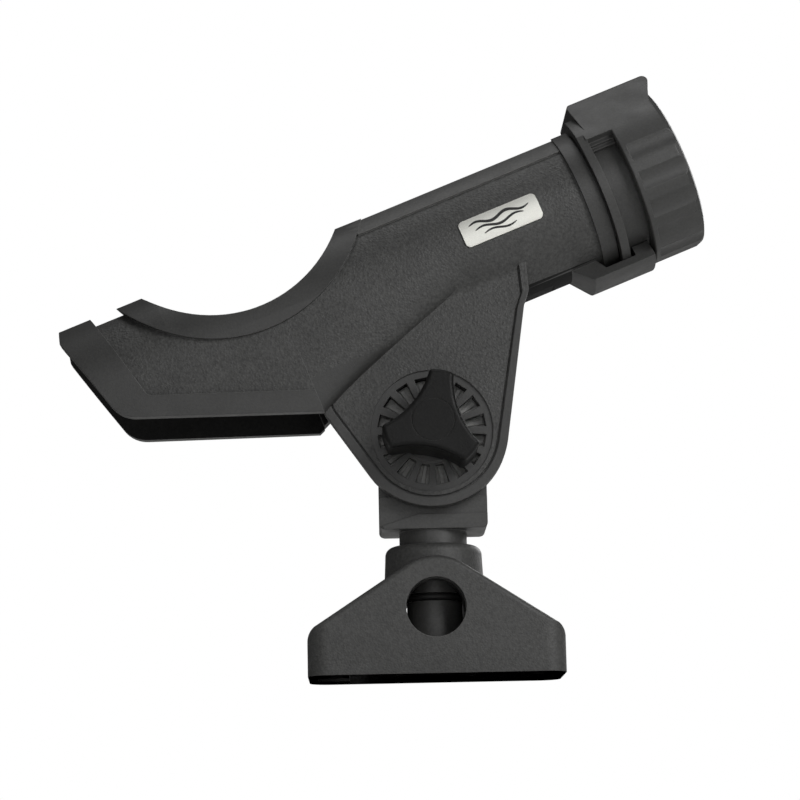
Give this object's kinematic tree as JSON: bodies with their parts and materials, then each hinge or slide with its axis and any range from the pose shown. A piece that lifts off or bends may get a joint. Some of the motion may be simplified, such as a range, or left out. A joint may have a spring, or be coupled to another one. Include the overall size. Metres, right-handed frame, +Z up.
{
  "type": "fishing rod holder",
  "caption": "Tilting fishing rod holder with a slotted tube, open reel cradle, locking ring, lobed knob, drop-in post and side-deck base.",
  "frame": {"origin": "centre of the base's foot, which is the centre of the four deck screws", "axes": "+X along the base towards the tube's mouth, -Y towards the knob, +Z up along the post"},
  "size_m": [0.2587, 0.0764, 0.2393],
  "materials": {
    "body_plastic": "glass-filled nylon with a fine pebble grain",
    "ring_plastic": "glass-filled nylon, finer grain",
    "knob_plastic": "dark satin nylon",
    "disc_plastic": "lighter grey satin acetal",
    "seal_rubber": "smooth rubber",
    "steel": "stainless, turned",
    "brass_insert": "turned brass",
    "badge_metal": null
  },
  "bodies": {
    "base": {"mount_base": "body_plastic"},
    "lift": {"post_o_ring": "seal_rubber"},
    "post": {"post": "body_plastic", "near_tooth_disc": "disc_plastic", "far_tooth_disc": "disc_plastic", "pivot_sleeve": "steel"},
    "holder": {"holder_body": "body_plastic", "name_badge": "badge_metal", "tilt_bolt": "steel"},
    "ring": {"lock_ring": "ring_plastic"},
    "washer": {"knob_washer": "steel"},
    "knob": {"knob_grip": "knob_plastic", "knob_insert": "brass_insert", "knob_cap": "knob_plastic"}
  },
  "joints": [
    {"name": "post_lift", "type": "slide", "parent": "base", "child": "lift", "axis": [0, 0, 1], "range_m": [0, 0.04]},
    {"name": "post_turn", "type": "hinge", "parent": "lift", "child": "post", "pos_m": [0, 0, 0.0515], "axis": [0, 0, 1], "continuous": true},
    {"name": "holder_tilt", "type": "hinge", "parent": "post", "child": "holder", "pos_m": [0, 0, 0.095], "axis": [0, 1, 0], "range_deg": [-45, 67.5]},
    {"name": "ring_turn", "type": "hinge", "parent": "holder", "child": "ring", "pos_m": [-0.02446, 0, 0.15554], "axis": [0.9272, 0, 0.3746], "range_deg": [0, 90]},
    {"name": "knob_backoff", "type": "slide", "parent": "holder", "child": "washer", "axis": [0, -1, 0], "range_m": [0, 0.0025]},
    {"name": "knob_turn", "type": "hinge", "parent": "washer", "child": "knob", "pos_m": [0, -0.0224, 0.095], "axis": [0, -1, 0], "range_deg": [0, 720]}
  ],
  "couplings": [
    {"joint": "knob_backoff", "follows": "knob_turn", "m_per_rad": 0.00019894}
  ]
}
